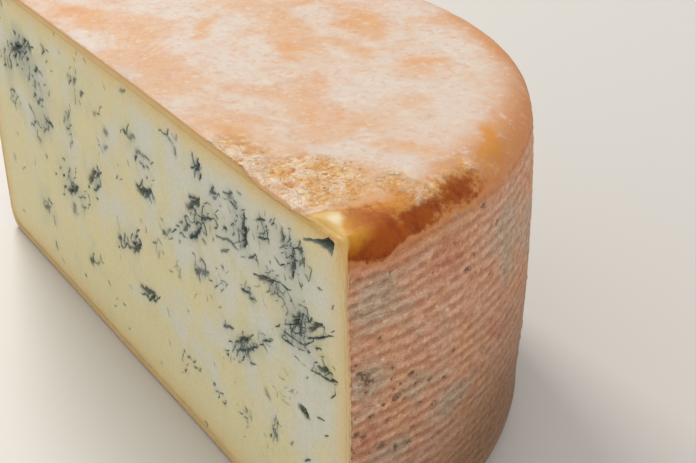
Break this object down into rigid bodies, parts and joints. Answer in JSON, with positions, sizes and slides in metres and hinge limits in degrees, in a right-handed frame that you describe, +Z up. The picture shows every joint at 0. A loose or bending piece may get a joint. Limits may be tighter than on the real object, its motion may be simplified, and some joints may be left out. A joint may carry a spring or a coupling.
{
  "type": "half-wheel gorgonzola wedge",
  "caption": "Half wheel of blue-veined cheese cut straight through the middle: pale paste with blue-green mould pockets, and a ribbed orange-brown rind.",
  "frame": {"origin": "middle of the bounding box in plan, at the height of the flat base that the cheese stands on", "axes": "+X along the straight cut towards its end with the corner hollow, +Y from the cut face towards the middle of the curved rind, so the cut face looks along -Y, +Z up through the top rind"},
  "size_m": [0.3058, 0.1548, 0.13],
  "materials": {
    "paste": "cut cheese paste: pale creamy yellow, slightly moist and soft, with dark blue-green mould veins in grey-blue haloes, warmer and more amber near the rind",
    "rind": "dry ribbed rind: terracotta and grey-brown side with dark pits and pale flecks, top of orange and peach under a patchy whitish bloom"
  },
  "bodies": {
    "root": {"cheese": "paste"}
  },
  "joints": []
}
